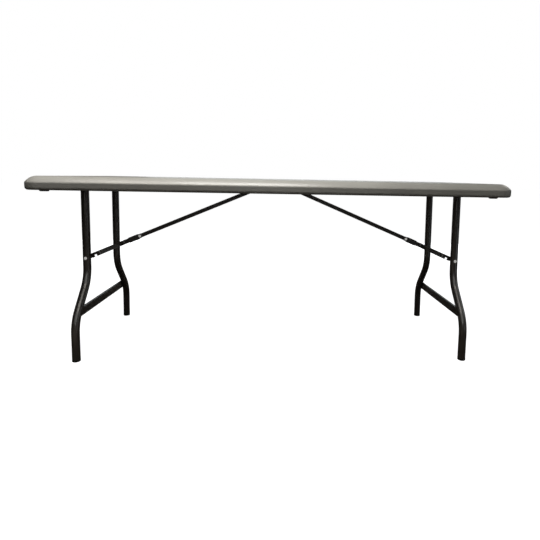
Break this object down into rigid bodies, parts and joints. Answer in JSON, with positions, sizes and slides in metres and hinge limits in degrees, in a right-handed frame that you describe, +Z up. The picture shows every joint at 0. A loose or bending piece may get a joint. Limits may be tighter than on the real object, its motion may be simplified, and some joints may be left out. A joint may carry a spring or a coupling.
{
  "type": "folding table",
  "caption": "Rectangular folding table with a hollow plastic top on a pair of fold-flat steel wishbone legs, each held by a jointed brace.",
  "frame": {"origin": "on the floor under the centre of the top", "axes": "+Z up, X along the top's length, -Y towards the front"},
  "size_m": [1.829, 0.762, 0.737],
  "materials": {
    "top_plastic": "pebbled blow-moulded polyethylene, soft sheen",
    "pad_rubber": "matt moulded rubber",
    "rail_steel": "black powder coat",
    "frame_steel": "black powder coat, semi-gloss",
    "foot_plastic": "matt black polyethylene",
    "bush_plastic": "satin acetal",
    "screw_steel": "zinc plated",
    "rivet_steel": "zinc plated, worn bright",
    "lock_steel": "black powder coat, worn edges"
  },
  "bodies": {
    "top": {"table_top": "top_plastic", "stacking_pads": "pad_rubber", "rail_front": "rail_steel", "rail_rear": "rail_steel", "pivot_bushes": "bush_plastic", "panel_screws": "screw_steel", "centre_bracket": "frame_steel", "bracket_rivets": "rivet_steel"},
    "leg_frame_left": {"pivot_tube_left": "frame_steel", "leg_tube_front_left": "frame_steel", "leg_tube_rear_left": "frame_steel", "crossbar_left": "frame_steel", "feet_left": "foot_plastic", "leg_rivets_left": "rivet_steel"},
    "upper_link_left": {"upper_link_left": "frame_steel"},
    "lower_arms_left": {"lower_arm_front_left": "frame_steel", "lower_arm_rear_left": "frame_steel", "arm_rivets_left": "rivet_steel", "knuckle_rivet_left": "rivet_steel"},
    "lock_left": {"lock_slider_left": "lock_steel"},
    "leg_frame_right": {"pivot_tube_right": "frame_steel", "leg_tube_front_right": "frame_steel", "leg_tube_rear_right": "frame_steel", "crossbar_right": "frame_steel", "feet_right": "foot_plastic", "leg_rivets_right": "rivet_steel"},
    "upper_link_right": {"upper_link_right": "frame_steel"},
    "lower_arms_right": {"lower_arm_front_right": "frame_steel", "lower_arm_rear_right": "frame_steel", "arm_rivets_right": "rivet_steel", "knuckle_rivet_right": "rivet_steel"},
    "lock_right": {"lock_slider_right": "lock_steel"}
  },
  "joints": [
    {"name": "leg_fold_left", "type": "hinge", "parent": "top", "child": "leg_frame_left", "pos_m": [-0.776, 0, 0.7], "axis": [0, -1, 0], "range_deg": [0, 91.3]},
    {"name": "brace_swing_left", "type": "hinge", "parent": "top", "child": "upper_link_left", "pos_m": [-0.06, 0, 0.704], "axis": [0, 1, 0], "range_deg": [0, 22.26]},
    {"name": "knuckle_left", "type": "hinge", "parent": "upper_link_left", "child": "lower_arms_left", "pos_m": [-0.61315, 0, 0.47141], "axis": [0, -1, 0], "range_deg": [0, 180]},
    {"name": "lock_slide_left", "type": "slide", "parent": "lower_arms_left", "child": "lock_left", "axis": [-0.9218, 0, -0.3876], "range_m": [0, 0.02]},
    {"name": "leg_fold_right", "type": "hinge", "parent": "top", "child": "leg_frame_right", "pos_m": [0.776, 0, 0.7], "axis": [0, 1, 0], "range_deg": [0, 91.3]},
    {"name": "brace_swing_right", "type": "hinge", "parent": "top", "child": "upper_link_right", "pos_m": [0.06, 0, 0.704], "axis": [0, -1, 0], "range_deg": [0, 22.26]},
    {"name": "knuckle_right", "type": "hinge", "parent": "upper_link_right", "child": "lower_arms_right", "pos_m": [0.61315, 0, 0.47141], "axis": [0, 1, 0], "range_deg": [0, 180]},
    {"name": "lock_slide_right", "type": "slide", "parent": "lower_arms_right", "child": "lock_right", "axis": [0.9218, 0, -0.3876], "range_m": [0, 0.02]}
  ],
  "couplings": [
    {"joint": "brace_swing_left", "follows": "leg_fold_left", "ratio": 0.24375},
    {"joint": "knuckle_left", "follows": "leg_fold_left", "ratio": 1.9715},
    {"joint": "brace_swing_right", "follows": "leg_fold_right", "ratio": 0.24375},
    {"joint": "knuckle_right", "follows": "leg_fold_right", "ratio": 1.9715}
  ]
}
